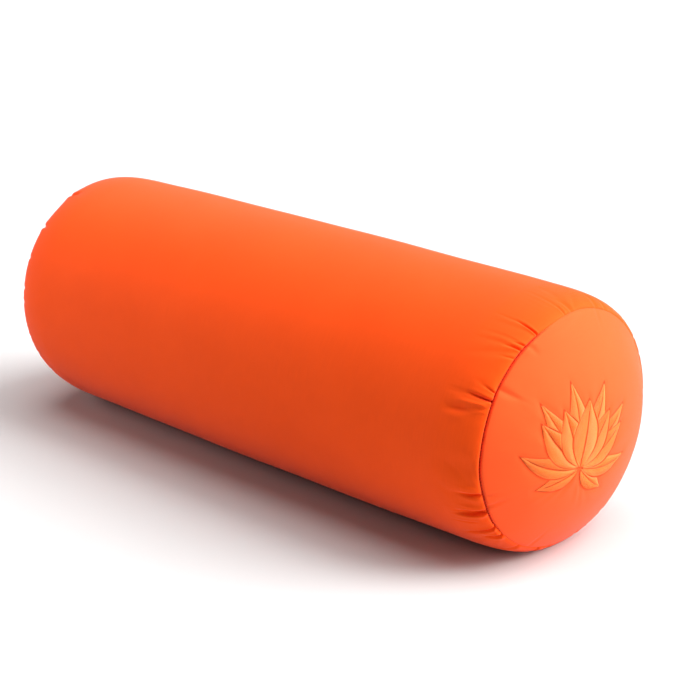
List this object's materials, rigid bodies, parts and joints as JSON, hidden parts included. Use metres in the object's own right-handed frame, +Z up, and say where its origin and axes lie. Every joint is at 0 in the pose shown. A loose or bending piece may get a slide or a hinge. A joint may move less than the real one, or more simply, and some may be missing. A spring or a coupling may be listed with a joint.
{
  "type": "yoga bolster",
  "caption": "Long round cushion lying on its side: a filled cotton tube gathered at both ends into the seam of a round, domed end panel.",
  "frame": {"origin": "on the floor, under the middle of the roll's overall length and width", "axes": "+X along the roll towards the embroidered end panel, +Y across it towards the back of the picture, +Z up"},
  "size_m": [0.6518, 0.2364, 0.2155],
  "materials": {
    "tube_cotton": "smooth fine orange cotton with a soft sheen",
    "panel_cotton": "the same fine orange cotton, on the end panels",
    "embroidery_thread": "satin-stitched embroidery thread, a lighter yellow orange",
    "outline_thread": "darker orange thread of the outlines and veins",
    "seam_thread": "orange sewing thread in the shade of the seams"
  },
  "bodies": {
    "root": {"filled_roll": "tube_cotton", "end_panel_near": "panel_cotton", "end_panel_far": "panel_cotton"}
  },
  "joints": []
}
